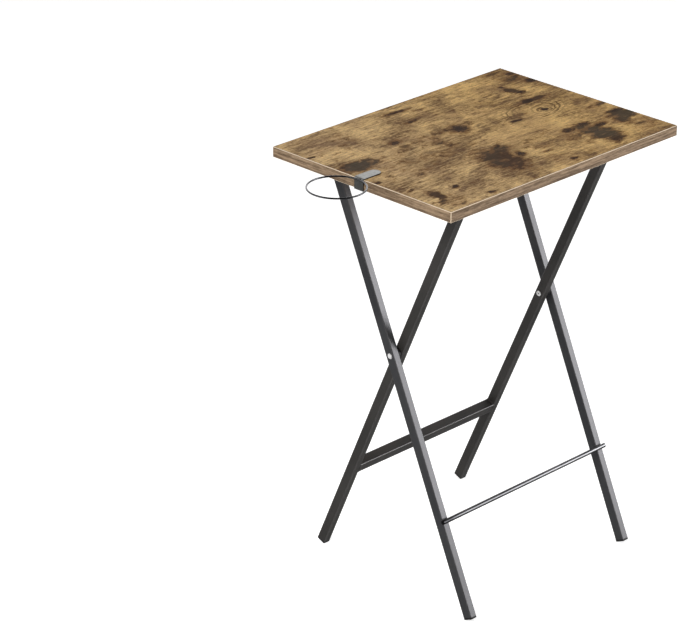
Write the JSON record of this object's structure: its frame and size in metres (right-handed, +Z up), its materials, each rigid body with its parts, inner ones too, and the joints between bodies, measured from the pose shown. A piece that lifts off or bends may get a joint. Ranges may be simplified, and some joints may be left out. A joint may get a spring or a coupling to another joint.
{
  "type": "folding tray table",
  "caption": "Wood-look tray on two pairs of crossed steel tube legs that fold scissor-wise, with a hinged top and a clip-on wire cup holder.",
  "frame": {"origin": "on the floor, under the middle of the whole footprint, cup holder included, so the tray's own middle is at X = 44.15 mm", "axes": "+Z up; X along the tray's long side, with the cup holder at the -X end; the user sits on the -Y side, where the outer legs' feet are"},
  "size_m": [0.5702, 0.349, 0.6668],
  "materials": {
    "tube_black": "satin dark powder coat",
    "rod_steel": "drawn bright steel",
    "black_plastic": "moulded, fine grain",
    "rivet_metal": "bright domed head",
    "zinc_steel": "zinc plated",
    "screw_steel": "zinc plated",
    "chipboard": "raw particle board",
    "wood_laminate": "rustic wood-look laminate, satin",
    "edge_wood": "wood-look edge band, satin",
    "backing_paper": "printed backing sheet",
    "clip_steel": "satin spring steel",
    "ring_chrome": "polished wire"
  },
  "bodies": {
    "outer_frame": {"outer_leg_left": "tube_black", "outer_leg_right": "tube_black", "stop_rod": "rod_steel", "outer_feet": "black_plastic", "outer_top_plugs": "black_plastic", "pivot_rivets": "rivet_metal", "pivot_spacers": "black_plastic"},
    "inner_frame": {"inner_leg_left": "tube_black", "inner_leg_right": "tube_black", "inner_crossbar": "tube_black", "inner_top_bar": "tube_black", "inner_feet": "black_plastic", "inner_top_plugs": "black_plastic"},
    "top_hinge": {"hinge_pins": "zinc_steel", "hinge_washers": "zinc_steel"},
    "tray": {"board_core": "chipboard", "top_laminate": "wood_laminate", "backing_sheet": "backing_paper", "edge_band_front": "edge_wood", "edge_band_back": "edge_wood", "edge_band_left": "edge_wood", "edge_band_right": "edge_wood", "hinge_bracket_left": "zinc_steel", "hinge_bracket_right": "zinc_steel", "bracket_screws": "screw_steel", "catch_left": "black_plastic", "catch_right": "black_plastic", "catch_screws": "screw_steel"},
    "cup_holder": {"holder_clip": "clip_steel", "holder_ring": "ring_chrome"}
  },
  "joints": [
    {"name": "leg_fold", "type": "hinge", "parent": "outer_frame", "child": "inner_frame", "pos_m": [0.04415, -0.001, 0.372], "axis": [-1, 0, 0], "range_deg": [0, 47]},
    {"name": "top_follow", "type": "hinge", "parent": "outer_frame", "child": "top_hinge", "pos_m": [0.04415, 0.1161, 0.635], "axis": [-1, 0, 0], "range_deg": [0, 23.5]},
    {"name": "top_lift", "type": "hinge", "parent": "top_hinge", "child": "tray", "pos_m": [0.04415, 0.1161, 0.635], "axis": [-1, 0, 0], "range_deg": [0, 90]},
    {"name": "holder_slide", "type": "slide", "parent": "tray", "child": "cup_holder", "axis": [-1, 0, 0], "range_m": [0, 0.045]}
  ],
  "couplings": [
    {"joint": "top_follow", "follows": "leg_fold", "ratio": 0.5}
  ]
}
